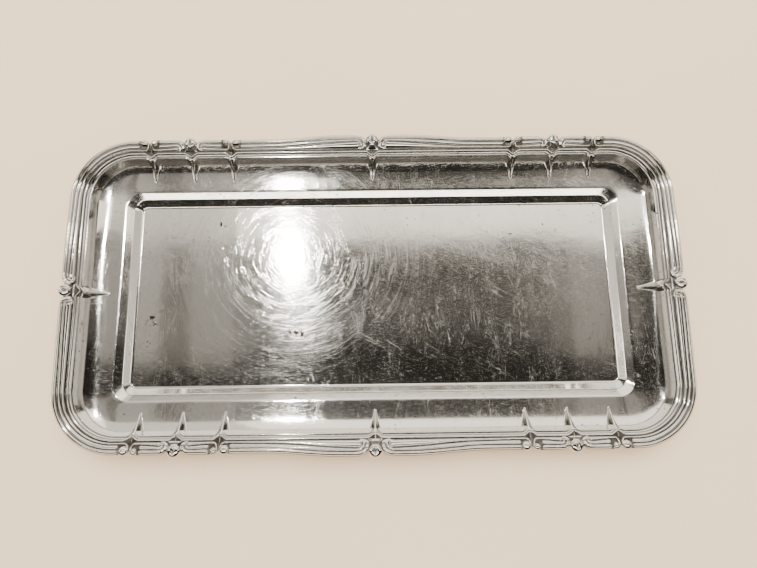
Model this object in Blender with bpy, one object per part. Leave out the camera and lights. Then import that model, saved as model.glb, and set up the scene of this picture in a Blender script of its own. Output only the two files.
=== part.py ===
"""A rectangular serving tray: a pressed metal pan with an applied, scrolled border.

The pan is one sheet: a flat well, a step up to a narrow ledge, and an upswept wall that is
pinched into sixteen darts and ends in a sloping flange. The border is sixteen die-struck
lengths soldered on that flange. Each length runs from a leaf joint, where its outer roll
curls inward, to a pair joint, where it faces the next length scroll to scroll. Eight leaf
mounts cover the leaf joints.

Metres, +Z up, length along X. The origin is on the table under the middle of the well.
"Run" is the distance along the nominal outline, counter-clockwise from the middle of the
+X side. "Inset" is the distance inward from that outline.
"""

import math

import bmesh
import bpy

# Overall sizes
LENGTH = 0.400  # over the plain outer edge of the border
WIDTH = 0.204
HEIGHT = 0.0237  # from the table to the crest of the border's outer roll
CORNER_RADIUS = 0.040

# Pan
SHEET = 0.0010
STEP_RISE = 0.0061  # from the well up to the ledge
STEP_INSET = 0.0303  # where the ledge turns down into the step
WELL_INSET = 0.0416  # where the step meets the flat well
WELL_CORNER = 0.0018
SHOULDER_RUN = 0.0037  # rounded top of the step, measured inward
SHOULDER_FALL = 0.0010
TOE_RUN = 0.0022  # hollow foot of the step, measured inward
TOE_RISE = 0.0006
LEDGE_SLOPE = 0.075  # rise of the ledge for each unit outward, beside the step
LEDGE_STEEPENING = 0.100  # added to that slope at the wall's foot
WALL_FOOT_INSET = 0.0190
COLLAR_FOOT_INSET = 0.0128  # where the hollow foot of the wall turns up into its steep collar
COLLAR_EASE = 0.12  # share of the collar that rounds each of its ends
FLANGE_EDGE = 0.0043
SEAT_SLOPE = 0.433  # fall of the flange for each unit of inset
SEAT_DROP = 0.0047  # seat under the border's inner edge, below the outer edge

# Darts pinched into the wall, one at each joint of the border
DART_END = 0.0245  # inset of the dart's nose, on the ledge
DART_HALF_WIDTH = 0.0036
DART_NOSE_HALF_WIDTH = 0.0016
ACROSS_DART = (-1.6, -0.6, 0.0, 0.6, 1.6)  # where the pan's sections cut it, in half widths

# Border
BORDER_WIDTH = 0.0092
ROLL_WIDTH = 0.0029
ROLL_RISE = 0.0010  # crest of the outer roll above the outer edge
BEAD_WIDTH = 0.0015
BEAD_RISE = 0.0006
REED_RISE = 0.0012
REED_TAPER = 0.22  # share of the field that the narrower reed keeps at a length's end
PLATE = 0.0008  # thickness of the strip between its raised reeds
LIP_DEPTH = 0.0028  # bottom of the outer lip below the outer edge
LIP_INSET = 0.0040
CUSP = 0.0022  # how far the inner edge points inward at a joint
CUSP_HALF_WIDTH = 0.0030
GAP = 0.0003

# Joints of the border
CLUSTER_INSET = 0.0775  # from the tray's end to the middle joint of a cluster
CLUSTER_PITCH = 0.0270
LEAF_CURL = 0.0090  # length of the inward curl at a leaf joint
LEAF_RETREAT = 0.0032  # how far the outline draws in at a leaf joint
PAIR_RETREAT = 0.0018
PAIR_NOTCH = 0.0020  # length of the outline's notch at a pair joint
PAIR_BALL = 0.0034  # distance of a scroll's ball from a pair joint
PAIR_BULGE = 0.0006
SWELL_LONG = 0.0026  # outward swell of the outline beside each kind of leaf joint
SWELL_SIDE = 0.0005
SWELL_CLUSTER = 0.0003
SWELL_START = 0.022  # the swell holds its full size up to here, then fades
SWELL_END = 0.068

# Leaf mounts
LEAF_HALF_WIDTH = 0.0042
PROUD_LONG = 0.0010  # how far each kind of leaf stands out past the border's edge
PROUD_SIDE = 0.0014
PROUD_CLUSTER = 0.0018
LEAF_RISE = 0.0018  # crest of the leaf above the outer edge
LEAF_BASE = 0.0005  # thickness of the leaf's skirt at its rim
LEAF_EASE = 0.0003  # run of the step under the leaf, where its skirt leaves its knob
LEAF_TIP = math.radians(-78)  # where the bulb's rounded front starts

CORNER_STEPS = 8
LEDGE_STEPS = 5

# Heights that follow
EDGE_Z = HEIGHT - ROLL_RISE
WELL_Z = SHEET
STEP_Z = WELL_Z + STEP_RISE

# Outline lengths that follow
SIDE_STRAIGHT = WIDTH / 2 - CORNER_RADIUS
LONG_STRAIGHT = LENGTH / 2 - CORNER_RADIUS
CORNER_RUN = math.pi / 2 * CORNER_RADIUS
QUARTER = SIDE_STRAIGHT + CORNER_RUN + LONG_STRAIGHT

# Joints in the first quarter, as runs
LEAF_X = LENGTH / 2 - CLUSTER_INSET
RUN_SIDE = 0.0
RUN_OUTER = QUARTER - (LEAF_X + CLUSTER_PITCH)
RUN_LEAF = QUARTER - LEAF_X
RUN_INNER = QUARTER - (LEAF_X - CLUSTER_PITCH)
RUN_MIDDLE = QUARTER

QUARTERS = {
    "back_right": (1, 1),
    "back_left": (-1, 1),
    "front_left": (-1, -1),
    "front_right": (1, -1),
}


def mix(a, b, share):
    return a + (b - a) * share


def smooth(value, low, high):
    """0 below low, 1 above high, and an S-curve between."""
    share = min(1.0, max(0.0, (value - low) / (high - low)))
    return share * share * (3 - 2 * share)


# ---------------------------------------------------------------- the outline


def outline_radius(inset):
    """Corner radius of the loop at this inset: concentric, then tightening down the step."""
    if inset <= STEP_INSET:
        return CORNER_RADIUS - inset
    share = min(1.0, (inset - STEP_INSET) / (WELL_INSET - STEP_INSET))
    return mix(CORNER_RADIUS - STEP_INSET, WELL_CORNER, share)


def first_quarter_point(run, inset):
    """The point at a run within the first quarter (or just past its ends) and an inset."""
    radius = outline_radius(inset)
    centre_x = LENGTH / 2 - inset - radius
    centre_y = WIDTH / 2 - inset - radius
    if run <= SIDE_STRAIGHT:
        share_x, share_y, angle = 1.0, run / SIDE_STRAIGHT, 0.0
    elif run < SIDE_STRAIGHT + CORNER_RUN:
        share_x, share_y, angle = 1.0, 1.0, (run - SIDE_STRAIGHT) / CORNER_RADIUS
    else:
        share_x, share_y, angle = (QUARTER - run) / LONG_STRAIGHT, 1.0, math.pi / 2
    x = share_x * centre_x + radius * math.cos(angle)
    y = share_y * centre_y + radius * math.sin(angle)
    return x, y


def corner_runs():
    """Runs of the corner's facets. The pan and the border share them, so they stay parallel."""
    return [SIDE_STRAIGHT + CORNER_RUN * step / CORNER_STEPS for step in range(CORNER_STEPS + 1)]


# ---------------------------------------------------------------- the pan


def seat_z(inset):
    """Height of the flange's upper face, which carries the border."""
    return EDGE_Z - SEAT_DROP + SEAT_SLOPE * (BORDER_WIDTH - inset)


def cusp(distance):
    """Inward point of the border's inner edge, at a distance from a joint."""
    return CUSP * (1 - smooth(distance, 0, CUSP_HALF_WIDTH))


def dart_rise(distance, inset, base_z):
    """Height that a dart adds to the wall, at a distance along the run from its crest."""
    head = BORDER_WIDTH + CUSP
    along = (inset - head) / (DART_END - head)
    if not 0 < along < 1:
        return 0.0
    crest_z = mix(seat_z(head), ledge_z(DART_END), along)
    half_width = mix(DART_HALF_WIDTH, DART_NOSE_HALF_WIDTH, along)
    return max(0.0, crest_z - base_z) * (1 - smooth(distance, 0, half_width))


def ledge_z(inset):
    """Height of the ledge and the wall's foot, one hollow curve that steepens outward."""
    away = STEP_INSET - inset
    share = away / (STEP_INSET - WALL_FOOT_INSET)
    return STEP_Z + LEDGE_SLOPE * away + LEDGE_STEEPENING * away * share**3 / 4


def pan_profile():
    """The upper face from the well's edge out to the flange's edge, as (inset, z) points."""
    points = [
        (WELL_INSET, WELL_Z),
        (WELL_INSET - TOE_RUN, WELL_Z + TOE_RISE),
        (STEP_INSET + SHOULDER_RUN, STEP_Z - SHOULDER_FALL),
        (STEP_INSET, STEP_Z),
    ]
    for step in range(LEDGE_STEPS + 1):
        inset = mix(DART_END, COLLAR_FOOT_INSET, step / LEDGE_STEPS)
        points.append((inset, ledge_z(inset)))
    foot, head = ledge_z(COLLAR_FOOT_INSET), seat_z(BORDER_WIDTH)
    for share in (COLLAR_EASE, 0.5, 1 - COLLAR_EASE, 1.0):
        inset = mix(COLLAR_FOOT_INSET, BORDER_WIDTH, share)
        points.append((inset, mix(foot, head, smooth(share, 0, 1))))
    points.append((FLANGE_EDGE, seat_z(FLANGE_EDGE)))
    return points


def lower_profile(points):
    """The same profile one sheet thickness below, offset square to the surface."""
    lower = []
    for index, (inset, z) in enumerate(points):
        before = points[max(index - 1, 0)]
        after = points[min(index + 1, len(points) - 1)]
        run, rise = after[0] - before[0], after[1] - before[1]
        if index == 0:
            run, rise = -1.0, 0.0  # the well is level
        size = math.hypot(run, rise)
        lower.append((inset + SHEET * rise / size, z + SHEET * run / size))
    return lower


def pan_stations():
    """Runs round the whole tray, each with its distance from the nearest joint."""
    joints = (RUN_SIDE, RUN_OUTER, RUN_LEAF, RUN_INNER, RUN_MIDDLE)
    runs = corner_runs() + [mix(RUN_INNER, RUN_MIDDLE, 0.5)]
    for joint in joints:
        runs += [joint + DART_HALF_WIDTH * share for share in ACROSS_DART]
    runs = sorted(run for run in runs if -1e-9 <= run <= QUARTER + 1e-9)
    quarter = [(run, min(abs(run - joint) for joint in joints)) for run in runs]
    inner = quarter[1:-1]
    loop = [(1, 1, *station) for station in quarter]
    loop += [(-1, 1, *station) for station in reversed(inner)]
    loop += [(-1, -1, *station) for station in quarter]
    loop += [(1, -1, *station) for station in reversed(inner)]
    return loop


def pan_point(station, inset, z):
    """A point of the pan, with the wall's head drawn in by the cusp and lifted by the dart."""
    sign_x, sign_y, run, distance = station
    reach = COLLAR_FOOT_INSET + SHEET
    if BORDER_WIDTH - 2 * SHEET < inset < reach:
        shift = cusp(distance) * min(1.0, (reach - inset) / (reach - BORDER_WIDTH))
        inset += shift
        z -= SEAT_SLOPE * shift
    z += dart_rise(distance, inset, z)
    x, y = first_quarter_point(run, inset)
    return sign_x * x, sign_y * y, z


def make_pan():
    upper = pan_profile()
    rows = upper + list(reversed(lower_profile(upper)))
    stations = pan_stations()
    mesh = bmesh.new()
    rings = []
    for inset, z in rows:
        rings.append([mesh.verts.new(pan_point(station, inset, z)) for station in stations])
    skin(mesh, rings)
    for ring, z in ((rings[0], WELL_Z), (rings[-1], 0.0)):
        centre = mesh.verts.new((0.0, 0.0, z))
        for index, vertex in enumerate(ring):
            mesh.faces.new((vertex, ring[index - 1], centre))
    return finish(mesh, "tray_pan", "pan_metal", (0.78, 0.76, 0.72), 0.14)


# ---------------------------------------------------------------- the border


def plate_z(inset):
    """Upper face of the border's strip between the reeds, level outside the nominal edge."""
    return seat_z(max(inset, 0.0)) + GAP + PLATE


def outer_edge(from_leaf, from_pair, swell):
    """Inset of a length's outer edge, from the distances to its two ends."""
    edge = -swell * (1 - smooth(from_leaf, SWELL_START, SWELL_END))
    notch = LEAF_HALF_WIDTH + GAP
    if from_leaf < LEAF_CURL:
        share = min(1.0, (LEAF_CURL - from_leaf) / (LEAF_CURL - notch))
        edge += (LEAF_RETREAT + swell) * (1 - math.sqrt(1 - share * share))
    ball = abs(from_pair - PAIR_BALL) / PAIR_BALL
    edge += -PAIR_BULGE if ball == 0 else -PAIR_BULGE * (1 - smooth(ball, 0, 1))
    edge += PAIR_RETREAT * (1 - smooth(from_pair, 0, PAIR_NOTCH))
    return edge


def border_section(from_leaf, from_pair, swell):
    """One closed section across a length: roll, two tapered reeds, bead, seat and lip."""
    outer = outer_edge(from_leaf, from_pair, swell)
    inner = BORDER_WIDTH + cusp(min(from_leaf, from_pair))
    relief = smooth(from_leaf, LEAF_HALF_WIDTH + GAP, LEAF_CURL)
    relief *= smooth(from_pair, 0, PAIR_NOTCH)
    field_start, field_end = outer + ROLL_WIDTH, inner - BEAD_WIDTH
    share = mix(REED_TAPER, 1 - REED_TAPER, from_leaf / (from_leaf + from_pair))
    middle = mix(field_start, field_end, share)

    def raised(inset, height):
        return inset, plate_z(inset) + height * relief

    def reed(start, end):
        height = REED_RISE * min(1.0, 2 * (end - start) / (field_end - field_start))
        return raised(mix(start, end, 0.5), height)

    crest = outer + ROLL_WIDTH / 2
    roll_height = EDGE_Z + ROLL_RISE - plate_z(crest)
    bead = inner - BEAD_WIDTH / 2
    top = [
        (outer, min(plate_z(outer), EDGE_Z)),
        raised(crest, roll_height),
        raised(field_start, 0),
        reed(field_start, middle),
        raised(middle, 0),
        reed(middle, field_end),
        raised(field_end, 0),
        (bead, plate_z(bead) + BEAD_RISE),
        (inner, plate_z(inner)),
    ]
    lip_z = EDGE_Z - LIP_DEPTH
    under = [
        (inner, seat_z(inner) + GAP),
        (LIP_INSET, seat_z(LIP_INSET) + GAP),
        (LIP_INSET, lip_z),
        (mix(outer, LIP_INSET, 0.45), lip_z),
        (mix(outer, LIP_INSET, 0.12), mix(EDGE_Z, lip_z, 0.6)),
    ]
    return top + under


def make_border_length(kind, quarter, leaf_run, pair_run, swell):
    """A length from a leaf joint to a pair joint, in one of the four quarters."""
    sign_x, sign_y = QUARTERS[quarter]
    span = abs(pair_run - leaf_run)
    way = 1 if pair_run > leaf_run else -1
    half_gap = GAP / 2
    notch = LEAF_HALF_WIDTH + GAP
    marks = [half_gap, notch, mix(notch, LEAF_CURL, 0.15), mix(notch, LEAF_CURL, 0.5), LEAF_CURL]
    marks += [span - half_gap, span - PAIR_NOTCH, span - PAIR_BALL, span - 2 * PAIR_BALL]
    if swell == SWELL_LONG:
        marks += [mix(SWELL_START, SWELL_END, share) for share in (0.0, 0.5, 1.0)]
    marks += [way * (run - leaf_run) for run in corner_runs()]
    marks = sorted(mark for mark in marks if half_gap <= mark <= span - half_gap)
    mesh = bmesh.new()
    rings = []
    for mark in marks:
        ring = []
        for inset, z in border_section(mark, span - mark, swell):
            x, y = first_quarter_point(leaf_run + way * mark, inset)
            ring.append(mesh.verts.new((sign_x * x, sign_y * y, z)))
        rings.append(ring)
    skin(mesh, rings)
    mesh.faces.new(rings[0])
    mesh.faces.new(rings[-1])
    name = f"border_{kind}_{quarter}"
    return finish(mesh, name, "border_metal", (0.80, 0.78, 0.74), 0.10)


# ---------------------------------------------------------------- the leaf mounts


def leaf_sections(front):
    """Sections of a leaf from its bulb in to its skirt, as (inset, half width, floor, top)."""
    middle = front + LEAF_HALF_WIDTH
    knob_end = LEAF_RETREAT - GAP - LEAF_EASE
    lip_z = EDGE_Z - LIP_DEPTH
    last = math.asin(min(0.4, (knob_end - 2 * LEAF_EASE - middle) / LEAF_HALF_WIDTH))
    sections = []
    for share in (0.0, 0.35, 0.7, 1.0):
        angle = mix(LEAF_TIP, last, share)
        inset = middle + LEAF_HALF_WIDTH * math.sin(angle)
        width = LEAF_HALF_WIDTH * math.cos(angle)
        sections.append((inset, width, lip_z, EDGE_Z + LEAF_RISE * math.cos(angle)))
    crest_z = EDGE_Z + LEAF_RISE
    neck = 0.6 * LEAF_HALF_WIDTH
    skirt_end = BORDER_WIDTH - BEAD_WIDTH - GAP
    neck_inset = mix(LEAF_RETREAT, skirt_end, 0.4)
    sections.append((knob_end, 0.85 * LEAF_HALF_WIDTH, lip_z, mix(EDGE_Z, crest_z, 0.8)))
    sections.append((LEAF_RETREAT - GAP, 0.8 * LEAF_HALF_WIDTH, None, mix(EDGE_Z, crest_z, 0.7)))
    sections.append((neck_inset, neck, None, plate_z(neck_inset) + 3 * LEAF_BASE))
    sections.append((skirt_end, 0.95 * LEAF_HALF_WIDTH, None, plate_z(skirt_end) + 2 * LEAF_BASE))
    return sections


def make_leaf(place, front, put):
    """A leaf on its joint. put() turns (side, inset) into the tray's x and y."""
    mesh = bmesh.new()
    rings = []
    for inset, half_width, floor_z, top_z in leaf_sections(front):
        if floor_z is None:
            floor_z = plate_z(inset) + GAP
        edge_z = min(floor_z + LEAF_BASE, top_z - LEAF_BASE / 2)
        edge_z = max(edge_z, mix(floor_z, top_z, 0.5))
        shoulder_z = mix(edge_z, top_z, 0.75)
        ring = []
        for share, z in (
            (-1, floor_z),
            (-1, edge_z),
            (-0.6, shoulder_z),
            (0, top_z),
            (0.6, shoulder_z),
            (1, edge_z),
            (1, floor_z),
        ):
            x, y = put(share * half_width, inset)
            ring.append(mesh.verts.new((x, y, z)))
        rings.append(ring)
    skin(mesh, rings)
    mesh.faces.new(rings[0])
    mesh.faces.new(rings[-1])
    return finish(mesh, f"leaf_{place}", "leaf_metal", (0.80, 0.78, 0.74), 0.12)


# ---------------------------------------------------------------- meshes and materials


def skin(mesh, rings):
    """Quads between each ring of vertices and the next."""
    for ring, following in zip(rings, rings[1:]):
        for index in range(len(ring)):
            after = (index + 1) % len(ring)
            mesh.faces.new((ring[index], ring[after], following[after], following[index]))


def metal(name, colour, roughness):
    material = bpy.data.materials.get(name)
    if material is None:
        material = bpy.data.materials.new(name)
        material.use_nodes = True
        shader = material.node_tree.nodes["Principled BSDF"]
        shader.inputs["Base Color"].default_value = (*colour, 1.0)
        shader.inputs["Metallic"].default_value = 1.0
        shader.inputs["Roughness"].default_value = roughness
    return material


def finish(mesh, name, material, colour, roughness):
    """Turn a closed bmesh into a named object with its material."""
    bmesh.ops.recalc_face_normals(mesh, faces=mesh.faces[:])
    data = bpy.data.meshes.new(name)
    mesh.to_mesh(data)
    mesh.free()
    data.shade_smooth()
    data.set_sharp_from_angle(angle=math.radians(35))
    data.materials.append(metal(material, colour, roughness))
    thing = bpy.data.objects.new(name, data)
    bpy.context.scene.collection.objects.link(thing)
    return thing


def make_border():
    for quarter in QUARTERS:
        make_border_length("corner", quarter, RUN_SIDE, RUN_OUTER, SWELL_SIDE)
        make_border_length("outer", quarter, RUN_LEAF, RUN_OUTER, SWELL_CLUSTER)
        make_border_length("inner", quarter, RUN_LEAF, RUN_INNER, SWELL_CLUSTER)
        make_border_length("long", quarter, RUN_MIDDLE, RUN_INNER, SWELL_LONG)


def make_leaves():
    """Three leaves along each long side and one at the middle of each short side."""
    cluster_front = -SWELL_CLUSTER - PROUD_CLUSTER
    for place, sign in (("back", 1), ("front", -1)):
        for where, middle_x, front in (
            ("left", -LEAF_X, cluster_front),
            ("middle", 0.0, -SWELL_LONG - PROUD_LONG),
            ("right", LEAF_X, cluster_front),
        ):
            make_leaf(
                f"{place}_{where}",
                front,
                lambda side, inset: (middle_x + side, sign * (WIDTH / 2 - inset)),
            )
    for place, sign in (("right", 1), ("left", -1)):
        make_leaf(
            f"{place}_end",
            -SWELL_SIDE - PROUD_SIDE,
            lambda side, inset: (sign * (LENGTH / 2 - inset), side),
        )


def main():
    for thing in list(bpy.data.objects):
        bpy.data.objects.remove(thing, do_unlink=True)
    make_pan()
    make_border()
    make_leaves()


main()
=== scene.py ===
"""The looks of the serving tray: a fine mesh for each CAD piece, its metal, and a plain studio.

Lengths are in millimetres until a mesh is made. "Run" is the distance along the tray's
nominal outline from the middle of its +X side, "inset" the distance inward from that outline.
"""

import math

import bpy
import numpy as np
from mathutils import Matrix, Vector


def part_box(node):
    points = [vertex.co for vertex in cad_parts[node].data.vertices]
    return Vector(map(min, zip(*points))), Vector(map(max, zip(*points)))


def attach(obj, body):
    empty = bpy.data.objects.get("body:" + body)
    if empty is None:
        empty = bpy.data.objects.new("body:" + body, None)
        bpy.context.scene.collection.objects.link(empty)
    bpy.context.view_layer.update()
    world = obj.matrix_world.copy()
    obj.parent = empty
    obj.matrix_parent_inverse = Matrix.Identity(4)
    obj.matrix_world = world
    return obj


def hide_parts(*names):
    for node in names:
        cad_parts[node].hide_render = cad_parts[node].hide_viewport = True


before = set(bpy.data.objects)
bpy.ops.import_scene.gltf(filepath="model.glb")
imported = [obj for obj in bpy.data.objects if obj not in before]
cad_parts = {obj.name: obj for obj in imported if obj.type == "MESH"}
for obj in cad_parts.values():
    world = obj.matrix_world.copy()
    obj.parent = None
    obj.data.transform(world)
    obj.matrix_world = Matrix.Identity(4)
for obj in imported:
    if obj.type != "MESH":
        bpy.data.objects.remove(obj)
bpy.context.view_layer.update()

MM = 0.001

# Sizes that follow the frame
FLANGE_EDGE = 4.3
BORDER_CREST = 1.0  # crest of the outer roll above the outer edge
pan_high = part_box("tray_pan")[1] / MM
HALF_LENGTH = pan_high.x + FLANGE_EDGE
HALF_WIDTH = pan_high.y + FLANGE_EDGE
EDGE_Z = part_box("border_corner_back_left")[1].z / MM - BORDER_CREST

# Pan
CORNER_RADIUS = 40.0
SHEET = 1.0
WELL_Z = SHEET
STEP_Z = 7.1
STEP_INSET = 30.3
WELL_INSET = 41.6
WELL_CORNER = 1.8
WALL_FOOT = 19.0
COLLAR_FOOT = 12.8  # where the steep part of the wall begins
LEDGE_SLOPE = 0.082
FOOT_SLOPE = 0.10  # added to the ledge's slope by the foot of the wall
SEAT_SLOPE = 0.433
SEAT_DROP = 4.7
DART_END = 24.5
DART_HALF_WIDTH = 4.3  # where a dart leaves the border
DART_NOSE_HALF_WIDTH = 0.8
DART_SPACING = 0.3  # between the mesh's stations across a dart
DART_REACH = 6.3  # how far to each side of a joint they go

# Border
BORDER_WIDTH = 9.2
PLATE = 1.1  # strip's upper face above the flange
PLATE_TOP = EDGE_Z - 0.8
LIP_Z = EDGE_Z - 2.8
CUSP = 2.2
CUSP_HALF_WIDTH = 4.5
LEAF_X = HALF_LENGTH - 77.5
PITCH = 27.0
SWELL_START, SWELL_END = 22.0, 68.0
SWELL_LONG, SWELL_SIDE, SWELL_CLUSTER = 2.6, 0.5, 0.3
PROUD_LONG, PROUD_SIDE, PROUD_CLUSTER = 1.0, 1.4, 1.8
CURL_MIDDLE = 5.2  # inset of the middle of the curl at a leaf
JOINT_GAP = 0.15

SIDE_STRAIGHT = HALF_WIDTH - CORNER_RADIUS
LONG_STRAIGHT = HALF_LENGTH - CORNER_RADIUS
CORNER_RUN = math.pi / 2 * CORNER_RADIUS
QUARTER = SIDE_STRAIGHT + CORNER_RUN + LONG_STRAIGHT
RUN_OUTER = QUARTER - LEAF_X - PITCH
RUN_LEAF = QUARTER - LEAF_X
RUN_INNER = QUARTER - LEAF_X + PITCH
JOINTS = (0.0, RUN_OUTER, RUN_LEAF, RUN_INNER, QUARTER)
QUARTERS = {
    "back_right": (1, 1),
    "back_left": (-1, 1),
    "front_left": (-1, -1),
    "front_right": (1, -1),
}


def mix(a, b, share):
    return a + (b - a) * share


def smooth(value, low, high):
    """0 below low, 1 above high, and an S-curve between."""
    share = np.clip((value - low) / (high - low), 0.0, 1.0)
    return share * share * (3 - 2 * share)


# ---------------------------------------------------------------- mesh helpers


def mesh_object(name, points, faces, attribute=None):
    """An object from points in millimetres, shaded smooth, with an optional value per vertex."""
    mesh = bpy.data.meshes.new(name)
    mesh.from_pydata((points * MM).tolist(), [], faces)
    mesh.validate()
    if attribute is not None:
        # the value per vertex is painted shade, which darkens the metal in the hollows
        layer = mesh.attributes.new("painted_shade", "FLOAT", "POINT")
        layer.data.foreach_set("value", attribute.astype(np.float32))
    mesh.shade_smooth()
    thing = bpy.data.objects.new(name, mesh)
    bpy.context.scene.collection.objects.link(thing)
    return thing


def tube_faces(rows, columns, flip):
    """Quads of a grid whose columns close on themselves, and a face over each end."""
    r, c = np.meshgrid(np.arange(rows - 1), np.arange(columns), indexing="ij")
    here, ahead, c_next = r * columns, (r + 1) * columns, (c + 1) % columns
    quads = np.stack([here + c, here + c_next, ahead + c_next, ahead + c], -1).reshape(-1, 4)
    faces = (quads[:, ::-1] if flip else quads).tolist()
    start = list(range(columns))
    end = list(range((rows - 1) * columns, rows * columns))
    faces.append(start if flip else start[::-1])
    faces.append(end[::-1] if flip else end)
    return faces


def outline_radius(inset):
    """Corner radius of the outline at an inset, tighter down the step."""
    down = np.clip((inset - STEP_INSET) / (WELL_INSET - STEP_INSET), 0, 1)
    return np.where(
        inset <= STEP_INSET,
        CORNER_RADIUS - inset,
        mix(CORNER_RADIUS - STEP_INSET, WELL_CORNER, down**2),
    )


def quarter_point(run, inset):
    """x and y in the first quarter for arrays of runs and insets."""
    radius = outline_radius(inset)
    centre_x = HALF_LENGTH - inset - radius
    centre_y = HALF_WIDTH - inset - radius
    on_side = np.clip(run / SIDE_STRAIGHT, None, 1.0)
    on_long = np.clip((QUARTER - run) / LONG_STRAIGHT, None, 1.0)
    angle = np.clip((run - SIDE_STRAIGHT) / CORNER_RADIUS, 0, math.pi / 2)
    return (
        on_long * centre_x + radius * np.cos(angle),
        on_side * centre_y + radius * np.sin(angle),
    )


def seat_z(inset):
    """Height of the flange's upper face."""
    return EDGE_Z - SEAT_DROP + SEAT_SLOPE * (BORDER_WIDTH - inset)


def cusp(distance):
    """How far the border's inner edge points inward, by distance from a joint."""
    return CUSP * (1 - smooth(distance, 0, CUSP_HALF_WIDTH))


# ---------------------------------------------------------------- the pan


def rounded_path(corners, spacing):
    """Points along a polyline of (inset, z, radius) corners, with arcs in its corners."""
    points = [np.array(corners[0][:2], float)]
    for before, corner, after in zip(corners, corners[1:], corners[2:]):
        here = np.array(corner[:2], float)
        back = np.array(before[:2], float) - here
        ahead = np.array(after[:2], float) - here
        back /= np.linalg.norm(back)
        ahead /= np.linalg.norm(ahead)
        turn = math.pi - math.acos(np.clip(back @ ahead, -1, 1))
        reach = corner[2] * math.tan(turn / 2)
        centre = here + (back + ahead) / np.linalg.norm(back + ahead) * (
            corner[2] / math.cos(turn / 2)
        )
        start, end = here + back * reach - centre, here + ahead * reach - centre
        steps = max(2, math.ceil(math.degrees(turn) / 4))
        for step in range(steps + 1):
            share = step / steps
            along = start * math.sin((1 - share) * turn) + end * math.sin(share * turn)
            points.append(centre + along / math.sin(turn))
    points.append(np.array(corners[-1][:2], float))
    path = [points[0]]
    for point in points[1:]:
        length = np.linalg.norm(point - path[-1])
        pieces = max(1, math.ceil(length / spacing))
        start = path[-1]
        for piece in range(1, pieces + 1):
            path.append(mix(start, point, piece / pieces))
    return np.array(path)


def foot_z(inset):
    """The ledge, which steepens as it runs out to the foot of the wall."""
    away = STEP_INSET - inset
    share = away / (STEP_INSET - WALL_FOOT)
    return STEP_Z + LEDGE_SLOPE * away + FOOT_SLOPE * away * share**3 / 4


def pan_profile():
    """The upper face from inside the well's edge out to the flange's edge."""
    ledge_end = STEP_INSET - 1.5
    step = rounded_path(
        [
            (WELL_INSET + 3.0, WELL_Z, 0),
            (WELL_INSET - 1.4, WELL_Z, 2.6),
            (STEP_INSET + 5.6, STEP_Z - 2.15, 2.2),
            (STEP_INSET + 1.2, STEP_Z - 0.2, 1.6),
            (STEP_INSET, STEP_Z, 1.0),
            (ledge_end, foot_z(ledge_end), 0),
        ],
        0.5,
    )
    ledge_inset = np.linspace(ledge_end, COLLAR_FOOT + 0.9, 40)[1:]
    ledge = np.stack([ledge_inset, foot_z(ledge_inset)], -1)
    start, end = COLLAR_FOOT + 0.5, FLANGE_EDGE
    wall = rounded_path(
        [
            (start, foot_z(start), 0),
            (COLLAR_FOOT - 0.2, foot_z(COLLAR_FOOT - 0.2), 1.1),
            (BORDER_WIDTH + 0.4, seat_z(BORDER_WIDTH + 0.4), 1.2),
            (end, seat_z(end), 0),
        ],
        0.4,
    )
    return np.vstack([step, ledge, wall])


def offset_below(profile):
    """The profile one sheet thickness below, square to the surface."""
    slope = np.gradient(profile, axis=0)
    slope[0] = (-1.0, 0.0)
    slope /= np.linalg.norm(slope, axis=1)[:, None]
    return profile + SHEET * np.stack([slope[:, 1], slope[:, 0]], -1)


def pan_runs():
    """Runs of the first quarter, closer together across the darts and round the corner."""
    runs = [np.arange(0, QUARTER, 2.5), [QUARTER]]
    for joint in JOINTS:
        runs.append(np.arange(joint - DART_REACH, joint + DART_REACH + 0.01, DART_SPACING))
    runs.append(np.linspace(SIDE_STRAIGHT, SIDE_STRAIGHT + CORNER_RUN, 49))
    runs = np.concatenate(runs)
    runs = np.unique(np.round(runs[(runs >= 0) & (runs <= QUARTER)], 3))
    keep = np.concatenate([[True], np.diff(runs) > 0.05])
    return runs[keep]


def dart_rise(distance, inset, base_z):
    """Height that a pinched dart adds to the wall."""
    head = BORDER_WIDTH + CUSP
    along = np.clip((inset - head) / (DART_END - head), 0, 1)
    crest_z = mix(seat_z(head), foot_z(DART_END) - 0.1, along)
    half_width = mix(DART_NOSE_HALF_WIDTH, DART_HALF_WIDTH, (1 - along) ** 1.5)
    across = np.clip(distance / half_width, 0, 1)
    ridge = (0.5 + 0.5 * np.cos(math.pi * across)) ** 1.15
    inside = (along > 0) & (along < 1)
    return np.where(inside, np.maximum(0, crest_z - base_z) * ridge, 0)


def pan_surface(profile, runs, distance):
    """Points of one face of the pan over the first quarter, as (row, station) arrays."""
    inset, z = (np.repeat(column[:, None], len(runs), 1) for column in profile.T)
    across = np.repeat(distance[None, :], len(profile), 0)
    share = smooth(-inset, -COLLAR_FOOT - 1.5, -BORDER_WIDTH)
    drawn = inset > BORDER_WIDTH - 2.5
    shift = np.where(drawn, cusp(across) * share, 0)
    inset = inset + shift
    z = z - SEAT_SLOPE * shift
    z = z + dart_rise(across, inset, z)
    x, y = quarter_point(runs[None, :], inset)
    return x, y, z


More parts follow.
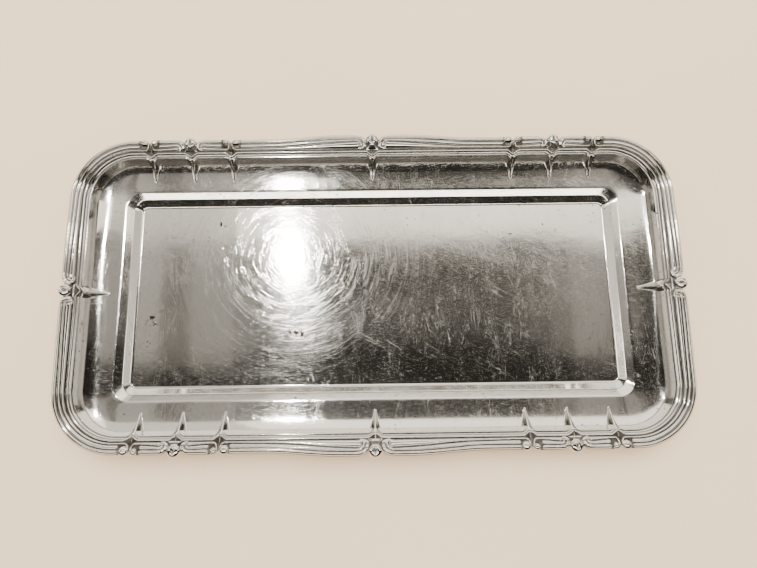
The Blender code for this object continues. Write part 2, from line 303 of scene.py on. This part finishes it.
def make_pan():
    """One sheet: its upper face, the same face a sheet below, and the rims between them."""
    runs = pan_runs()
    distance = np.min([np.abs(runs - joint) for joint in JOINTS], axis=0)
    upper = pan_profile()
    profile = np.vstack([upper, offset_below(upper)[::-1]])
    x, y, z = pan_surface(profile, runs, distance)
    back = slice(-2, 0, -1)  # the same stations the other way, without the two shared ones
    full_x = np.concatenate([x, -x[:, back], -x, x[:, back]], 1)
    full_y = np.concatenate([y, y[:, back], -y, -y[:, back]], 1)
    full_z = np.concatenate([z, z[:, back], z, z[:, back]], 1)
    points = np.stack([full_x, full_y, full_z], -1).reshape(-1, 3)
    pan = mesh_object("pan", points, tube_faces(*full_x.shape, True))
    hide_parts("tray_pan")
    return pan


# ---------------------------------------------------------------- the border


def plate_z(inset):
    """The strip's face between its raised reeds."""
    return np.minimum(seat_z(inset) + PLATE, PLATE_TOP)


def ridge(path, S, T, lean=0.0, power=0.5):
    """Relief of a rounded ridge along a path of (s, t, half width, height) rows.

    The crest lies off the middle by lean, a share of the half width, towards the left of the
    path. Power is 0.5 for an ellipse and 1 for a parabola on the ridge's right.
    """
    relief = np.zeros_like(S)
    last = len(path) - 2
    for index, ((s0, t0, w0, h0), (s1, t1, w1, h1)) in enumerate(zip(path, path[1:])):
        low, high = min(s0 - w0, s1 - w1), max(s0 + w0, s1 + w1)
        near = (S[:, 0] >= low) & (S[:, 0] <= high)
        size = math.hypot(s1 - s0, t1 - t0)
        if size < 1e-6 or not near.any():
            continue
        s, t = S[near] - s0, T[near] - t0
        ds, dt = (s1 - s0) / size, (t1 - t0) / size
        along, side = s * ds + t * dt, s * dt - t * ds
        share = np.clip(along / size, 0, 1)
        beyond = np.abs(along - share * size)
        if lean:  # round caps only at the two ends of the path
            capped = ((along < 0) & (index == 0)) | ((along > size) & (index == last))
            joined = capped | (beyond < 0.25)
            beyond = np.where(capped, beyond, 0)
        away = np.hypot(side, beyond) / mix(w0, w1, share)
        right = side > 0
        away = np.where(right, (away + lean) / (1 + lean), np.abs(away - lean) / (1 - lean))
        away = np.clip(away, 0, 1)
        height = mix(h0, h1, share) * (1 - away * away) ** np.where(right, power, 0.5)
        if lean:
            height = np.where(joined, height, 0)
        relief[near] = np.maximum(relief[near], height)
    return relief


class Length:
    """One length of the border. s is the distance from its leaf joint, t the inset.

    The curl is the scroll at the leaf joint, the ball the round knob at the pair joint.
    """

    ROLL = 3.1  # width of the outer roll
    BEAD = 1.5
    REED_END = 1.2  # least width that a reed keeps
    GROOVE = 0.4  # between the reeds and the bead
    FILL = 0.9  # share of a band that its reed fills
    CURL_END = 3.1  # distance of the curl's round end from the leaf joint
    BALL_EDGE = 0.6  # the ball's distance from the pair joint, and its stand past the outline
    ROLL_HEIGHT = 1.8
    REED_A_HEIGHT = 1.35  # the outer reed, which curls inside the roll
    REED_B_HEIGHT = 1.5  # the inner reed, which wraps the ball
    BALL_HEIGHT = 2.1
    BEAD_HEIGHT = 0.85
    RECESS = 0.7

    def __init__(self, span, swell, curl_start, ball):
        self.span, self.swell, self.curl_start, self.ball = span, swell, curl_start, ball
        self.curl_reach = curl_start - self.CURL_END
        self.ball_s = span - ball - self.BALL_EDGE
        self.ball_t = ball - self.BALL_EDGE

    def outer(self, s):
        """Inset of the outer edge, negative where it swells."""
        edge = -self.swell * (1 - smooth(s, SWELL_START, SWELL_END))
        share = np.clip((self.curl_start - s) / self.curl_reach, 0, 1)
        edge = edge + (CURL_MIDDLE + self.swell) * (1 - np.sqrt(1 - share * share))
        across = np.clip(np.abs(s - self.ball_s) / self.ball, 0, 1)
        ball_edge = self.ball_t - self.ball * np.sqrt(1 - across * across)
        past = s > self.ball_s
        edge = np.where(past, np.maximum(ball_edge, -9), np.minimum(edge, ball_edge))
        return np.where(past, np.minimum(edge, 2.0), edge)

    def inner(self, s):
        """Inset of the inner edge, with a cusp at each joint."""
        return BORDER_WIDTH + cusp(s) + cusp(self.span - s)

    def bands(self, s):
        """Insets of the outer edge, the two reeds' edges, the bead's edge and the inner edge."""
        outer, inner = self.outer(s), self.inner(s)
        base = -self.swell * (1 - smooth(s, SWELL_START, SWELL_END))
        first, last = base + self.ROLL, 0 * s + BORDER_WIDTH - self.BEAD - self.GROOVE
        near = first + self.REED_END
        far = last - self.REED_END
        middle = mix(near, far, smooth(s, -0.15 * self.span, 1.05 * self.span))
        return outer, first, middle, last, inner - self.BEAD, inner

    def stations(self):
        """Distances of the mesh's stations, close together at the two joints."""
        curl = self.curl_start - self.curl_reach * np.cos(np.linspace(0, math.pi / 2, 22))
        ball = self.ball_s + self.ball * np.cos(np.linspace(0, math.pi, 22))
        s = [
            np.arange(JOINT_GAP, 16, 0.35),
            np.arange(16, self.span - 10, 0.9),
            np.arange(max(16, self.span - 10), self.span, 0.35),
            curl,
            ball,
            [JOINT_GAP, self.span - JOINT_GAP],
        ]
        s = np.concatenate(s)
        s = np.unique(np.round(s[(s >= JOINT_GAP) & (s <= self.span - JOINT_GAP)], 3))
        return s[np.concatenate([[True], np.diff(s) > 0.04])]

    def long_run(self, first, last, height):
        """A ridge's rows along the straight middle of the length, between two of its bands."""
        s = np.arange(self.curl_start, self.ball_s - self.ball - 0.8, 1.0)
        bands = self.bands(s)
        low, high = bands[first] if first else self.outer(s), bands[last]
        return [
            (at, (a + b) / 2, self.FILL * (b - a) / 2, height)
            for at, a, b in zip(s, low, high)
        ]

    def curl(self, reach_s, reach_t, half_width, height, turn):
        """Rows of the part of a ridge that curls inward at the leaf, from its end outward."""
        rows = []
        for angle in np.linspace(turn, 90, 26):
            a = math.radians(angle)
            up = reach_t if angle < 180 else min(reach_t, 7.1 - CURL_MIDDLE)
            share = (angle - 90) / (turn - 90)
            s = self.curl_start + reach_s * math.cos(a)
            t = CURL_MIDDLE - up * math.sin(a)
            rows.append((s, t, half_width * mix(1, 0.7, share), height * mix(1, 0.62, share)))
        return rows

    def relief(self, S, T):
        """Height above the plate, and the same without the low places, on (s, t) grids."""
        start = self.bands(np.array([self.curl_start]))
        outer, first, middle, last = (float(band[0]) for band in start[:4])
        half_roll = self.ROLL / 2
        roll_t = CURL_MIDDLE - (outer + half_roll)
        reed_t = CURL_MIDDLE - (first + middle) / 2
        reed_half = (middle - first) / 2
        roll_reach = self.curl_reach - half_roll
        reed_reach = roll_reach - half_roll - reed_half
        roll = self.curl(roll_reach, roll_t, half_roll, self.ROLL_HEIGHT, 250)
        roll += self.long_run(0, 1, self.ROLL_HEIGHT)
        reed_a = self.curl(reed_reach, reed_t, reed_half, self.REED_A_HEIGHT, 235)
        reed_a += self.long_run(1, 2, self.REED_A_HEIGHT)
        reed_b = self.long_run(2, 3, self.REED_B_HEIGHT)
        tip = self.curl_start - (reed_reach - reed_half - 0.15)
        half_b = (last - middle) / 2
        reed_b.insert(0, (tip + half_b, middle + half_b, half_b, 1.6))
        # the inner reed ends round the ball, the outer one just before it
        wrap = reed_b[-1]
        for angle in np.linspace(90, 8, 14):
            a = math.radians(angle)
            s = self.ball_s + (self.span - 0.75 - self.ball_s) * math.cos(a)
            t = self.ball_t + (wrap[1] - self.ball_t) * math.sin(a)
            reed_b.append((s, t, mix(0.5, wrap[2], angle / 90), mix(0.8, 1.3, angle / 90)))
        total = ridge(roll, S, T, lean=0.4, power=0.9)
        for path in (reed_a, reed_b):
            total = np.maximum(total, ridge(path, S, T))
        ball = np.hypot(S - self.ball_s, T - self.ball_t) / self.ball
        total = np.maximum(total, self.BALL_HEIGHT * np.sqrt(np.clip(1 - ball * ball, 0, None)))
        bead_t = self.inner(S) - self.BEAD / 2
        bead = np.clip(np.abs(T - bead_t) / (self.BEAD / 2), 0, 1)
        total = np.maximum(total, self.BEAD_HEIGHT * np.sqrt(1 - bead * bead))
        # low places behind the cusps of both joints, where nothing is raised
        at_leaf = (1 - smooth(np.abs(S), 1.5, 4.2)) * smooth(T, 6.6, 7.6)
        at_pair = (1 - smooth(np.abs(self.span - S), 0.8, 2.6)) * smooth(T, 6.4, 7.4)
        clear = 1 - np.clip(total / 0.5, 0, 1)
        return total - self.RECESS * (at_leaf + at_pair) * clear, total

    def surface(self):
        """Rows of (s, t, z, painted shade) over the upper face, then the rows that close the body.
        """
        s = self.stations()
        bands = self.bands(s)
        outer, inner = bands[0], bands[-1]
        # where the outer edge draws in, each band keeps a little width of its own
        edges = [(bands[1], 0.25, 9), (bands[2], 0.5, 10), (bands[3], 0.75, 12), (bands[4], 1.2, 4)]
        cuts = [(np.maximum(band, outer + least), count) for band, least, count in edges]
        cuts.append((inner, 9))
        columns, low = [outer], outer
        for high, count in cuts:
            for step in range(1, count + 1):
                share = (1 - math.cos(math.pi * step / count)) / 2
                columns.append(mix(low, high, share))
            low = high
        T = np.stack(columns, 1)
        S = np.repeat(s[:, None], T.shape[1], 1)
        raised, relief = self.relief(S, T)
        Z = plate_z(T) + raised
        # painted shade: 1 where the relief stands under 0.15 mm, in the grooves between the reeds
        # and on the flat plate, fading out by 0.9 mm
        painted_shade = 1 - smooth(relief, 0.15, 0.9)
        under = [
            (inner, seat_z(inner) + 0.3),
            (np.full_like(s, 4.0), np.full_like(s, float(seat_z(4.0)) + 0.3)),
            (np.full_like(s, 4.0), np.full_like(s, LIP_Z)),
            (mix(outer, 4.0, 0.35), np.full_like(s, LIP_Z)),
            (mix(outer, 4.0, 0.10), np.full_like(s, LIP_Z + 0.35)),
            (outer, np.full_like(s, LIP_Z + 1.0)),
            (outer, plate_z(outer) - 0.35),
        ]
        T = np.concatenate([T, *[t[:, None] for t, _ in under]], 1)
        Z = np.concatenate([Z, *[z[:, None] for _, z in under]], 1)
        S = np.repeat(s[:, None], T.shape[1], 1)
        painted_shade = np.concatenate([painted_shade, np.zeros((len(s), len(under)))], 1)
        return S, T, Z, painted_shade


def make_border():
    # runs of the leaf joint and the pair joint, swell, start of the curl, radius of the ball
    kinds = {
        "corner": (0.0, RUN_OUTER, SWELL_SIDE, 10.2, 3.0),
        "outer": (RUN_LEAF, RUN_OUTER, SWELL_CLUSTER, 9.0, 2.3),
        "inner": (RUN_LEAF, RUN_INNER, SWELL_CLUSTER, 9.0, 2.3),
        "long": (QUARTER, RUN_INNER, SWELL_LONG, 10.8, 3.0),
    }
    made = []
    for kind, (leaf_run, pair_run, swell, curl_start, ball) in kinds.items():
        way = 1 if pair_run > leaf_run else -1
        length = Length(abs(pair_run - leaf_run), swell, curl_start, ball)
        S, T, Z, painted_shade = length.surface()
        x, y = quarter_point(leaf_run + way * S, T)
        for quarter, (sign_x, sign_y) in QUARTERS.items():
            points = np.stack([sign_x * x, sign_y * y, Z], -1).reshape(-1, 3)
            faces = tube_faces(*S.shape, sign_x * sign_y * way < 0)
            node = f"border_{kind}_{quarter}"
            piece = mesh_object(f"fine_{node}", points, faces, painted_shade.reshape(-1))
            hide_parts(node)
            made.append(piece)
    return made


# ---------------------------------------------------------------- the leaf mounts


BULB = 4.2  # radius of a leaf's bulb
BULB_RIM_Z = EDGE_Z - 0.9
BULB_RISE = 2.6
NECK = 0.86  # how far back on the bulb the neck starts, as a share of its radius
SKIRT_END = 7.6  # inset of the skirt's edge
SKIRT_HALF_WIDTH = 4.3
DIMPLE = 1.3


def leaf_grid(front):
    """A leaf as (side, inset, z, painted shade) grids: bulb, neck and flared skirt."""
    middle = front + BULB
    neck_start = middle + NECK * BULB
    neck_share = math.sqrt(1 - NECK**2)
    angles = np.linspace(-88, math.degrees(math.asin(NECK)), 22)
    rows = [middle + BULB * math.sin(math.radians(angle)) for angle in angles]
    rows += list(np.linspace(neck_start, SKIRT_END, 16)[1:])
    columns = np.sin(np.linspace(-math.pi / 2, math.pi / 2, 27))
    side, inset, z, painted_shade = [], [], [], []
    for t in rows:
        away = (t - middle) / BULB
        skirt = float(smooth(np.array(t), neck_start, SKIRT_END))
        plate = float(plate_z(np.array(t)))
        if t <= neck_start:
            half = BULB * math.sqrt(max(1e-4, 1 - away * away))
            top = BULB_RIM_Z + BULB_RISE * math.sqrt(max(0, 1 - away * away))
            floor = LIP_Z
            edge = mix(BULB_RIM_Z, plate + 0.3, smooth(np.array(t), 1.0, neck_start))
        else:
            half = mix(BULB * neck_share, SKIRT_HALF_WIDTH, skirt**1.2)
            top = mix(BULB_RIM_Z + BULB_RISE * neck_share, plate + 0.75, skirt**0.6)
            floor = plate + 0.2
            edge = plate + 0.4
        across = columns * half
        dimple_r = np.hypot(across / 1.15, (t - middle - 0.3) / 2.9)
        dimple = np.clip(1 - dimple_r * dimple_r, 0, 1) ** 1.5
        crown = np.sqrt(np.clip(1 - columns * columns, 0, 1))
        rise = edge + (top - edge) * crown - DIMPLE * dimple
        rim = np.full(2, floor)
        side.append(np.concatenate([across, [half, -half]]))
        inset.append(np.full(len(columns) + 2, t))
        z.append(np.concatenate([rise, rim]))
        # painted shade: the dimple in the bulb and a band along the middle of the skirt below the
        # neck are marked dark
        under = 1.5 * math.sin(math.pi * min(1.0, 1.25 * skirt)) * (1 - columns**2)
        painted_shade.append(np.concatenate([np.clip(0.8 * dimple + under, 0, 1), [0, 0]]))
    return (np.array(values) for values in (side, inset, z, painted_shade))


def make_leaf(node, front, put, flip):
    """A leaf whose bulb begins at the inset front; put turns side and inset into x and y."""
    side, inset, z, painted_shade = leaf_grid(front)
    x, y = put(side, inset)
    points = np.stack([x, y, z], -1).reshape(-1, 3)
    faces = tube_faces(*z.shape, flip)
    piece = mesh_object(f"fine_{node}", points, faces, painted_shade.reshape(-1))
    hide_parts(node)
    return piece


def make_leaves():
    made = []
    for place, sign in (("back", 1), ("front", -1)):
        for where, middle_x, swell, proud in (
            ("left", -LEAF_X, SWELL_CLUSTER, PROUD_CLUSTER),
            ("middle", 0.0, SWELL_LONG, PROUD_LONG),
            ("right", LEAF_X, SWELL_CLUSTER, PROUD_CLUSTER),
        ):
            made.append(
                make_leaf(
                    f"leaf_{place}_{where}",
                    -swell - proud,
                    lambda side, inset: (middle_x + side, sign * (HALF_WIDTH - inset)),
                    sign > 0,
                )
            )
    for place, sign in (("right", 1), ("left", -1)):
        made.append(
            make_leaf(
                f"leaf_{place}_end",
                -SWELL_SIDE - PROUD_SIDE,
                lambda side, inset: (sign * (HALF_LENGTH - inset), side),
                sign < 0,
            )
        )
    return made


# ---------------------------------------------------------------- materials


class Nodes:
    """Short ways to add and join shader nodes."""

    def __init__(self, name):
        self.material = bpy.data.materials.new(name)
        self.material.use_nodes = True
        self.tree = self.material.node_tree
        self.shader = self.tree.nodes["Principled BSDF"]
        self.place = self.add("ShaderNodeTexCoord").outputs["Object"]

    def add(self, kind, **values):
        node = self.tree.nodes.new(kind)
        for key, value in values.items():
            setattr(node, key, value)
        return node

    def join(self, source, target):
        if hasattr(source, "links"):
            self.tree.links.new(source, target)
        else:
            target.default_value = source

    def math(self, operation, a, b=0.0, clamp=False):
        node = self.add("ShaderNodeMath", operation=operation, use_clamp=clamp)
        self.join(a, node.inputs[0])
        self.join(b, node.inputs[1])
        return node.outputs[0]

    def mapped(self, scale, rotation=0.0, shift=(0, 0, 0), source=None):
        """The place turned by an angle, then scaled along each axis, then moved."""
        if rotation:
            turned = self.add("ShaderNodeMapping")
            self.join(source or self.place, turned.inputs["Vector"])
            turned.inputs["Rotation"].default_value = (0, 0, rotation)
            source = turned.outputs[0]
        node = self.add("ShaderNodeMapping")
        self.join(source or self.place, node.inputs["Vector"])
        node.inputs["Scale"].default_value = scale
        node.inputs["Location"].default_value = shift
        return node.outputs[0]

    def noise(self, vector, scale=1.0, detail=2.0, roughness=0.5):
        node = self.add("ShaderNodeTexNoise")
        self.join(vector, node.inputs["Vector"])
        node.inputs["Scale"].default_value = scale
        node.inputs["Detail"].default_value = detail
        node.inputs["Roughness"].default_value = roughness
        return node.outputs["Fac"]

    def ramp(self, value, low, high, to_low=0.0, to_high=1.0):
        node = self.add("ShaderNodeMapRange")
        self.join(value, node.inputs["Value"])
        for key, number in (("From Min", low), ("From Max", high)):
            node.inputs[key].default_value = number
        node.inputs["To Min"].default_value = to_low
        node.inputs["To Max"].default_value = to_high
        return node.outputs["Result"]

    def blend(self, share, a, b):
        node = self.add("ShaderNodeMix", data_type="RGBA")
        self.join(share, node.inputs["Factor"])
        for value, socket in ((a, node.inputs[6]), (b, node.inputs[7])):
            self.join((*value, 1.0) if isinstance(value, tuple) else value, socket)
        return node.outputs[2]

    def bump(self, height, distance, normal=None):
        node = self.add("ShaderNodeBump")
        self.join(height, node.inputs["Height"])
        node.inputs["Distance"].default_value = distance
        if normal is not None:
            self.join(normal, node.inputs["Normal"])
        return node.outputs["Normal"]

    def hairlines(self, vector, fine, broken_by, low, high):
        """Thin lines along the contours of a stretched noise, broken up by another noise."""
        contour = self.math("ABSOLUTE", self.math("SUBTRACT", self.noise(vector, 1.0, 1.0), 0.5))
        line = self.ramp(contour, 0.0, fine, 1.0, 0.0)
        return self.math("MULTIPLY", line, self.ramp(broken_by, low, high))

    def scratches(self, degrees, shift):
        """Fine scratches, nearly straight, along one direction."""
        turn = math.radians(-degrees)
        length, apart = 30.0 * MM, 1.6 * MM
        along = self.mapped((1 / length, 1 / apart, 1), turn, shift)
        gaps = self.mapped((1 / length, 1 / (5 * apart), 1), turn, shift)
        return self.hairlines(along, 0.012, self.noise(gaps, 1.0, 0.0), 0.52, 0.62)


WARM = (1.0, 0.93, 0.81)
ROOM = (1.0, 0.90, 0.76, 1.0)
SILVER = (0.83, 0.81, 0.775)
# dark colour: real tarnish for the pan's pits and stains, and painted shade in the hollows of the
# border and leaves
TARNISH_AND_SHADE = (0.05, 0.042, 0.034)
SWIRL_CENTRE = (-0.055, 0.026, 0.0)  # middle of the circular scratches
PITS = (  # (x, y, radius) of dark pits in the well
    (-0.1490, -0.0150, 0.0026),
    (-0.1465, -0.0195, 0.0019),
    (-0.1530, -0.0185, 0.0010),
    (-0.0565, -0.0262, 0.0021),
    (-0.0525, -0.0268, 0.0024),
    (-0.0480, -0.0276, 0.0020),
    (0.0420, -0.0230, 0.0018),
    (0.0455, -0.0215, 0.0012),
    (-0.1050, 0.0490, 0.0017),
    (-0.1025, 0.0480, 0.0009),
    (0.0950, 0.0400, 0.0009),
    (0.1180, 0.0460, 0.0009),
)


SCRATCH_DIRECTIONS = (74, 88, 97, 110, 150)  # degrees from the tray's long axis
SWIRLS = (  # scratches per metre outward, noise units per radian, seed
    (420.0, 1.1, 3.0),
    (560.0, 1.6, 9.0),
    (320.0, 0.9, 17.0),
)


def pan_metal():
    """Worn plate: a fine grain along X, straight and circular scratches, pits and stains."""
    n = Nodes("pan_silver")
    marks = 0.0
    for index, degrees in enumerate(SCRATCH_DIRECTIONS):
        layer = n.scratches(degrees, (3.1 * index, 1.7 * index, 0))
        marks = n.math("MAXIMUM", layer, marks)
    worn = n.ramp(n.noise(n.place, 16.0, 2.0), 0.36, 0.60, 0.25, 1.0)
    marks = n.math("MULTIPLY", marks, worn)

    # circular scratches, of which the straight ones keep clear
    centred = n.add("ShaderNodeVectorMath", operation="SUBTRACT")
    n.join(n.place, centred.inputs[0])
    centred.inputs[1].default_value = SWIRL_CENTRE
    parts = n.add("ShaderNodeSeparateXYZ")
    n.join(centred.outputs[0], parts.inputs[0])
    across, up = parts.outputs[0], parts.outputs[1]
    squared = n.math("ADD", n.math("MULTIPLY", across, across), n.math("MULTIPLY", up, up))
    radius = n.math("SQRT", squared)
    arcs = 0.0
    for per_metre, turns, seed in SWIRLS:
        polar = n.add("ShaderNodeCombineXYZ")
        n.join(n.math("MULTIPLY", radius, per_metre), polar.inputs[0])
        n.join(n.math("MULTIPLY", n.math("ARCTAN2", up, across), turns), polar.inputs[1])
        polar.inputs[2].default_value = seed
        gaps = n.noise(n.mapped((0.45, 1.4, 1), 0.0, (seed, 0, 0), polar.outputs[0]), 1.0, 0.0)
        layer = n.hairlines(polar.outputs[0], 0.024, gaps, 0.50, 0.58)
        arcs = n.math("MAXIMUM", layer, arcs)
    arcs = n.math("MULTIPLY", arcs, n.ramp(radius, 0.045, 0.105, 1.0, 0.0))
    marks = n.math("MULTIPLY", marks, n.ramp(radius, 0.025, 0.080, 0.15, 1.0))
    marks = n.math("MAXIMUM", marks, arcs)

    stain = n.ramp(n.noise(n.mapped((60, 110, 60)), 1.0, 5.0, 0.7), 0.63, 0.72)
    specks = n.add("ShaderNodeTexVoronoi")
    n.join(n.place, specks.inputs["Vector"])
    specks.inputs["Scale"].default_value = 260.0
    dot = n.ramp(specks.outputs["Distance"], 0.07, 0.16, 1.0, 0.0)
    dark = n.math("MULTIPLY", dot, n.ramp(n.noise(n.place, 45.0, 1.0), 0.48, 0.60))
    torn = n.ramp(n.noise(n.mapped((420, 900, 420)), 1.0, 4.0, 0.7), 0.25, 0.75, -0.0022, 0.0022)
    for x, y, size in PITS:
        away = n.add("ShaderNodeVectorMath", operation="DISTANCE")
        n.join(n.place, away.inputs[0])
        away.inputs[1].default_value = (x, y, 0.001)
        ragged = n.math("ADD", away.outputs["Value"], torn)
        pit = n.ramp(ragged, size * 0.45, size * 0.65, 1.0, 0.0)
        dark = n.math("MAXIMUM", dark, pit)
    dirt = n.math("MAXIMUM", dark, n.math("MULTIPLY", stain, 0.25), clamp=True)
    n.join(n.blend(dirt, SILVER, TARNISH_AND_SHADE), n.shader.inputs["Base Color"])
    n.shader.inputs["Metallic"].default_value = 1.0

    haze = n.ramp(n.noise(n.mapped((14, 30, 14)), 1.0, 4.0, 0.6), 0.3, 0.75, 0.05, 0.11)
    streaks = n.noise(n.mapped((1000 / 4.0, 1000 / 0.18, 1000)), 1.0, 1.0)
    grained = n.math("ADD", haze, n.ramp(streaks, 0.52, 0.75, 0.0, 0.15))
    rough = n.math("ADD", grained, n.math("MULTIPLY", marks, 0.16), clamp=True)
    n.join(n.math("MAXIMUM", rough, n.math("MULTIPLY", dirt, 0.5)), n.shader.inputs["Roughness"])
    n.shader.inputs["Anisotropic"].default_value = 0.8
    grain = n.add("ShaderNodeTangent", direction_type="RADIAL", axis="X")
    n.join(grain.outputs[0], n.shader.inputs["Tangent"])

    waves = n.bump(n.noise(n.mapped((9, 14, 9)), 1.0, 1.0), 0.0004)
    dents = n.bump(n.noise(n.mapped((120, 170, 120)), 1.0, 2.0), 0.00002, waves)
    carved = n.math("MAXIMUM", n.math("MULTIPLY", marks, 0.25), dark)
    n.join(n.bump(carved, -0.00002, dents), n.shader.inputs["Normal"])
    return n.material


def relief_metal(name, roughness):
    """Bright polished relief, with painted shade in the hollows that the mesh marks per vertex."""
    n = Nodes(name)
    painted_shade = n.add("ShaderNodeAttribute", attribute_name="painted_shade").outputs["Fac"]
    patchy = n.ramp(n.noise(n.place, 160.0, 3.0), 0.3, 0.7, 0.85, 1.0)
    # painted shade: the marked hollows are coloured dark, patchily, and made a little rougher
    painted_shade_amount = n.math("MULTIPLY", painted_shade, patchy)
    n.join(n.blend(painted_shade_amount, SILVER, TARNISH_AND_SHADE), n.shader.inputs["Base Color"])
    n.shader.inputs["Metallic"].default_value = 1.0
    rough = n.ramp(n.noise(n.place, 70.0, 3.0), 0.3, 0.7, roughness, roughness + 0.07)
    n.join(n.math("ADD", rough, n.math("MULTIPLY", painted_shade_amount, 0.25)), n.shader.inputs["Roughness"])
    n.join(n.bump(n.noise(n.place, 420.0, 3.0), 0.00003), n.shader.inputs["Normal"])
    return n.material


def floor_paper():
    n = Nodes("pale_table")
    tone = n.ramp(n.noise(n.place, 3.0, 2.0), 0.3, 0.7)
    n.join(n.blend(tone, (0.80, 0.655, 0.485), (0.82, 0.675, 0.505)), n.shader.inputs["Base Color"])
    n.shader.inputs["Roughness"].default_value = 0.75
    n.shader.inputs["Specular IOR Level"].default_value = 0.2
    n.join(n.bump(n.noise(n.place, 900.0, 2.0), 0.00002), n.shader.inputs["Normal"])
    return n.material


# ---------------------------------------------------------------- the studio


def card(name, low, high, radiance, tint=WARM, mirrored=True, lighting=False):
    """A flat soft light between two opposite corners, facing the tray.

    A mirrored one shows in the metal, a lighting one lights the table.
    """
    low, high = Vector(low), Vector(high)
    size = high - low
    data = bpy.data.lights.new(name, "AREA")
    data.shape = "RECTANGLE"
    light = bpy.data.objects.new(name, data)
    bpy.context.scene.collection.objects.link(light)
    light.location = (low + high) / 2
    if size.z == 0:  # overhead
        data.size, data.size_y = size.x, size.y
    elif size.y == 0:  # in front of or behind the tray
        data.size, data.size_y = size.x, size.z
        light.rotation_euler = (math.radians(-90 if low.y > 0 else 90), 0, 0)
    else:  # at one end
        data.size, data.size_y = size.z, size.y
        light.rotation_euler = (0, math.radians(90 if low.x > 0 else -90), 0)
    data.energy = radiance * math.pi * data.size * data.size_y
    data.color = tint
    light.visible_glossy = mirrored
    light.visible_diffuse = lighting
    light.visible_camera = False
    return light


def studio():
    """The table, a pale room that the metal sees as dim, and the lights."""
    floor_mesh = bpy.data.meshes.new("table")
    reach = 15.0
    floor_mesh.from_pydata(
        [(-reach, -reach, 0), (reach, -reach, 0), (reach, reach, 0), (-reach, reach, 0)],
        [],
        [(0, 1, 2, 3)],
    )
    floor = bpy.data.objects.new("table", floor_mesh)
    bpy.context.scene.collection.objects.link(floor)
    floor_mesh.materials.append(floor_paper())

    world = bpy.data.worlds.new("room")
    world.use_nodes = True
    tree = world.node_tree
    pale, dim = tree.nodes["Background"], tree.nodes.new("ShaderNodeBackground")
    pale.inputs["Color"].default_value = ROOM
    pale.inputs["Strength"].default_value = 1.15
    dim.inputs["Color"].default_value = ROOM
    dim.inputs["Strength"].default_value = 0.017
    either, path = tree.nodes.new("ShaderNodeMixShader"), tree.nodes.new("ShaderNodeLightPath")
    tree.links.new(path.outputs["Is Glossy Ray"], either.inputs["Fac"])
    tree.links.new(pale.outputs[0], either.inputs[1])
    tree.links.new(dim.outputs[0], either.inputs[2])
    tree.links.new(either.outputs[0], tree.nodes["World Output"].inputs["Surface"])
    bpy.context.scene.world = world

    # lights the table only
    card("overhead", (-1.2, -0.3, 1.9), (1.2, 1.4, 1.9), 7.2, mirrored=False, lighting=True)
    # seen in the metal only
    top = 1.5
    card("ceiling_far", (-0.47, 0.46, top), (1.5, 1.6, top), 2.2)
    card("ceiling_far_left", (-1.4, 0.46, top), (-0.47, 1.6, top), 1.1)
    card("ceiling_left", (-1.3, 0.05, top), (-0.72, 0.46, top), 0.50)
    card("ceiling_left_gap", (-0.72, 0.05, top), (-0.62, 0.46, top), 0.20)
    card("ceiling_left_inner", (-0.62, 0.05, top), (-0.47, 0.46, top), 0.40)
    card("ceiling_left_fade", (-0.47, 0.08, top), (-0.40, 0.46, top), 0.26)
    card("ceiling_left_end", (-0.40, 0.10, top), (-0.32, 0.46, top), 0.14)
    card("ceiling_middle", (-0.32, 0.12, top), (0.50, 0.46, top), 0.066)
    card("ceiling_right_end", (0.50, 0.10, top), (0.58, 0.46, top), 0.11)
    card("ceiling_right_fade", (0.58, 0.08, top), (0.65, 0.46, top), 0.20)
    card("ceiling_right", (0.65, 0.05, top), (0.80, 0.46, top), 0.35)
    card("ceiling_back", (-1.5, 1.6, top), (1.5, 2.3, top), 0.22)
    card("ceiling_near", (-1.4, -0.95, top), (1.2, -0.62, top), 7.0)
    card("wall_far", (-2.4, 2.3, 0.0), (2.4, 2.3, 1.2), 2.0)
    card("wall_near", (-2.2, -2.3, 0.0), (2.2, -2.3, 1.0), 0.12)
    card("wall_left", (-2.3, -0.3, 0.0), (-2.3, 2.2, 0.5), 0.5)
    card("wall_right", (2.3, -0.3, 0.0), (2.3, 2.2, 0.5), 0.7)
    card("high_left", (-2.0, -0.2, 0.6), (-2.0, 1.2, 2.0), 1.1)
    card("high_right", (2.0, -0.2, 0.6), (2.0, 1.2, 1.9), 0.9)
    card("window_left", (-1.9, -0.1, 1.3), (-1.9, 0.35, 1.75), 8.0)
    card("window_right", (1.9, -0.1, 1.3), (1.9, 0.3, 1.6), 6.0)
    card("lamp", (-0.301, 0.382, top - 0.02), (-0.251, 0.432, top - 0.02), 700, tint=(1, 0.97, 0.9))


def camera():
    """The photo's view: nearly straight down, from 38 cm above the table."""
    data = bpy.data.cameras.new("camera")
    data.sensor_width = 36.0
    data.lens = 27.04
    eye = bpy.data.objects.new("camera", data)
    bpy.context.scene.collection.objects.link(eye)
    eye.location = (0.0013, -0.0701, 0.3798)
    eye.rotation_euler = (0.19777, -0.00249, -0.01277)
    bpy.context.scene.camera = eye


def main():
    camera()
    studio()
    silver = pan_metal()
    border = relief_metal("border_silver", 0.04)
    leaf = relief_metal("leaf_silver", 0.05)
    pan = make_pan()
    for pieces, material, slot in (
        ([pan], silver, "pan_metal"),
        (make_border(), border, "border_metal"),
        (make_leaves(), leaf, "leaf_metal"),
    ):
        for piece in pieces:
            piece.data.materials.append(material)
            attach(piece, "root")


main()
